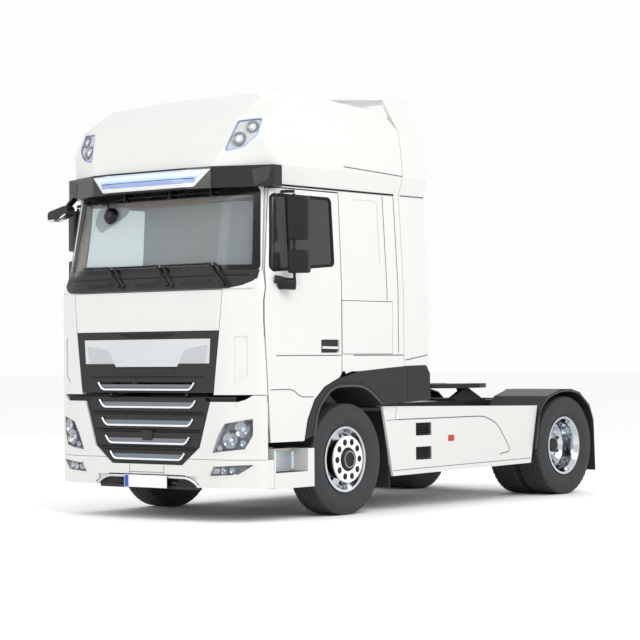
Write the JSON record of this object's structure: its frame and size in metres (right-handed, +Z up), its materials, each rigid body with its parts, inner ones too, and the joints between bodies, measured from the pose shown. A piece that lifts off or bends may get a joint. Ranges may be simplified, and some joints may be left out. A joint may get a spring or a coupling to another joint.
{
  "type": "semi truck tractor unit",
  "caption": "Two-axle tractor unit with a high-roof sleeper cab over the engine, a ladder frame, side skirts and a trailer coupling ahead of the twin-tyred axle.",
  "frame": {"origin": "on the ground, midway along the overall length and width", "axes": "+X to the vehicle's left, +Y to its rear, +Z up"},
  "size_m": [2.9576, 5.8, 3.905],
  "materials": {
    "white_paint": "gloss",
    "charcoal_plastic": "satin",
    "black_gloss": "gloss",
    "black_paint": "satin",
    "window_glass": "gloss",
    "lamp_glass": "gloss",
    "red_lens": "gloss",
    "silver_paint": "satin",
    "polished_rim": "polished",
    "tyre_rubber": "matte",
    "bellow_rubber": "matte",
    "cast_black": "matte",
    "spring_steel": "matte",
    "tank_aluminium": "brushed",
    "plate_white": "gloss",
    "seat_fabric": "matte",
    "dash_plastic": "matte"
  },
  "bodies": {
    "chassis": {"frame_ladder": "black_paint", "engine_block": "cast_black", "radiator": "cast_black", "front_axle": "cast_black", "leaf_springs": "spring_steel", "rear_axle": "cast_black", "propeller_shaft": "spring_steel", "rear_air_suspension": "bellow_rubber", "bumper": "white_paint", "bumper_valance": "charcoal_plastic", "corner_panels": "white_paint", "headlamps": "lamp_glass", "lower_grille": "charcoal_plastic", "number_plate": "plate_white", "step_boxes": "white_paint", "side_tanks": "tank_aluminium", "side_skirts": "white_paint", "deck_plate": "tank_aluminium", "rear_mudguards": "charcoal_plastic", "tail_lamps": "red_lens", "coupling_pedestal": "cast_black", "cab_mounts": "cast_black", "front_flaps": "bellow_rubber"},
    "steering_left": {"knuckle_left": "cast_black"},
    "steering_right": {"knuckle_right": "cast_black"},
    "wheel_front_left": {"tyre_front_left": "tyre_rubber", "rim_front_left": "polished_rim"},
    "wheel_front_right": {"tyre_front_right": "tyre_rubber", "rim_front_right": "polished_rim"},
    "wheels_rear_left": {"tyres_rear_left": "tyre_rubber", "rims_rear_left": "polished_rim"},
    "wheels_rear_right": {"tyres_rear_right": "tyre_rubber", "rims_rear_right": "polished_rim"},
    "fifth_wheel": {"coupling_plate": "cast_black"},
    "cab": {"cab_shell": "white_paint", "cab_floor": "black_paint", "windscreen": "window_glass", "cowl": "charcoal_plastic", "roof_shell": "white_paint", "sun_visor": "black_gloss", "roof_lip": "white_paint", "roof_lamps": "lamp_glass", "side_fins": "white_paint", "roof_cap": "white_paint", "cab_wheel_arches": "charcoal_plastic", "dashboard": "dash_plastic", "seats": "seat_fabric", "bunk": "seat_fabric"},
    "front_hatch": {"hatch_panel": "white_paint", "hatch_grille": "charcoal_plastic", "badge_plate": "silver_paint"},
    "left_door": {"door_left": "white_paint", "door_glass_left": "window_glass", "mirror_left": "charcoal_plastic"},
    "right_door": {"door_right": "white_paint", "door_glass_right": "window_glass", "mirror_right": "charcoal_plastic"},
    "left_locker": {"locker_lid_left": "white_paint"},
    "right_locker": {"locker_lid_right": "white_paint"},
    "driver_wheel": {"steering_wheel": "dash_plastic"}
  },
  "joints": [
    {"name": "steer_left", "type": "hinge", "parent": "chassis", "child": "steering_left", "pos_m": [0.905, -1.5, 0.505], "axis": [0, 0, 1], "range_deg": [-40, 40]},
    {"name": "steer_right", "type": "hinge", "parent": "chassis", "child": "steering_right", "pos_m": [-0.905, -1.5, 0.505], "axis": [0, 0, 1], "range_deg": [-40, 40]},
    {"name": "roll_front_left", "type": "hinge", "parent": "steering_left", "child": "wheel_front_left", "pos_m": [1.045, -1.5, 0.505], "axis": [1, 0, 0], "continuous": true},
    {"name": "roll_front_right", "type": "hinge", "parent": "steering_right", "child": "wheel_front_right", "pos_m": [-1.045, -1.5, 0.505], "axis": [1, 0, 0], "continuous": true},
    {"name": "roll_rear_left", "type": "hinge", "parent": "chassis", "child": "wheels_rear_left", "pos_m": [0.9175, 2.1, 0.505], "axis": [1, 0, 0], "continuous": true},
    {"name": "roll_rear_right", "type": "hinge", "parent": "chassis", "child": "wheels_rear_right", "pos_m": [-0.9175, 2.1, 0.505], "axis": [1, 0, 0], "continuous": true},
    {"name": "cab_tilt", "type": "hinge", "parent": "chassis", "child": "cab", "pos_m": [0, -2.835, 1.1], "axis": [1, 0, 0], "range_deg": [0, 60]},
    {"name": "hatch_lift", "type": "hinge", "parent": "cab", "child": "front_hatch", "pos_m": [0, -2.88, 2.024], "axis": [-1, 0, 0], "range_deg": [0, 85]},
    {"name": "door_left_swing", "type": "hinge", "parent": "cab", "child": "left_door", "pos_m": [1.236, -2.68, 1.6], "axis": [0, 0, -1], "range_deg": [0, 80]},
    {"name": "door_right_swing", "type": "hinge", "parent": "cab", "child": "right_door", "pos_m": [-1.236, -2.68, 1.6], "axis": [0, 0, 1], "range_deg": [0, 80]},
    {"name": "locker_left_lift", "type": "hinge", "parent": "cab", "child": "left_locker", "pos_m": [1.238, -1.245, 1.94], "axis": [0, -1, 0], "range_deg": [0, 90]},
    {"name": "locker_right_lift", "type": "hinge", "parent": "cab", "child": "right_locker", "pos_m": [-1.238, -1.245, 1.94], "axis": [0, 1, 0], "range_deg": [0, 90]},
    {"name": "coupling_rock", "type": "hinge", "parent": "chassis", "child": "fifth_wheel", "pos_m": [0, 1.54, 1.085], "axis": [1, 0, 0], "range_deg": [-10, 10]},
    {"name": "wheel_turn", "type": "hinge", "parent": "cab", "child": "driver_wheel", "pos_m": [0.64, -2.18, 2.23], "axis": [0, 0.5, 0.866], "range_deg": [-720, 720]}
  ],
  "couplings": [
    {"joint": "steer_right", "follows": "steer_left", "ratio": 1},
    {"joint": "wheel_turn", "follows": "steer_left", "ratio": 18}
  ]
}
